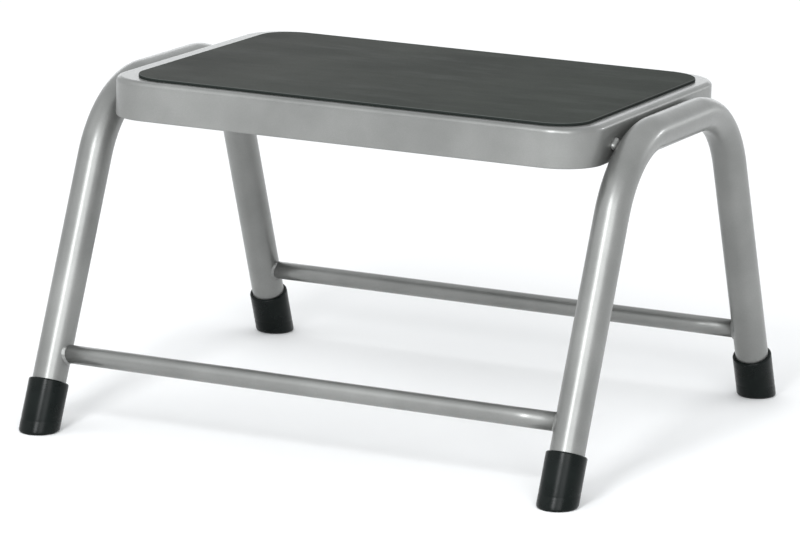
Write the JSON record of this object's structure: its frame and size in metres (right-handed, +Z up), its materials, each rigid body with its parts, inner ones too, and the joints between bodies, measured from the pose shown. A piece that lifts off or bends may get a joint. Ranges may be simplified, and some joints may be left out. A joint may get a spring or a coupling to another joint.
{
  "type": "one-step platform stool",
  "caption": "Fixed one-step stool: rubber-topped pressed steel platform welded between two bent tube leg frames with round stretchers and rubber ferrules.",
  "frame": {"origin": "on the floor, under the middle of the step", "axes": "+X along the step's long side, from the left leg frame to the right one; +Y from the front of the step to the rear; +Z up"},
  "size_m": [0.387, 0.3662, 0.225],
  "materials": {
    "silver_paint": "satin silver metallic paint",
    "mat_rubber": "matt dark grey",
    "ferrule_rubber": "smooth semi-gloss black"
  },
  "bodies": {
    "root": {"platform_pan": "silver_paint", "tread_mat": "mat_rubber", "left_stiffener_rib": "silver_paint", "right_stiffener_rib": "silver_paint", "left_leg_frame": "silver_paint", "right_leg_frame": "silver_paint", "front_stretcher": "silver_paint", "rear_stretcher": "silver_paint", "front_left_ferrule": "ferrule_rubber", "front_right_ferrule": "ferrule_rubber", "rear_left_ferrule": "ferrule_rubber", "rear_right_ferrule": "ferrule_rubber", "front_left_platform_weld": "silver_paint", "front_right_platform_weld": "silver_paint", "rear_left_platform_weld": "silver_paint", "rear_right_platform_weld": "silver_paint", "front_left_stretcher_weld": "silver_paint", "front_right_stretcher_weld": "silver_paint", "rear_left_stretcher_weld": "silver_paint", "rear_right_stretcher_weld": "silver_paint"}
  },
  "joints": []
}
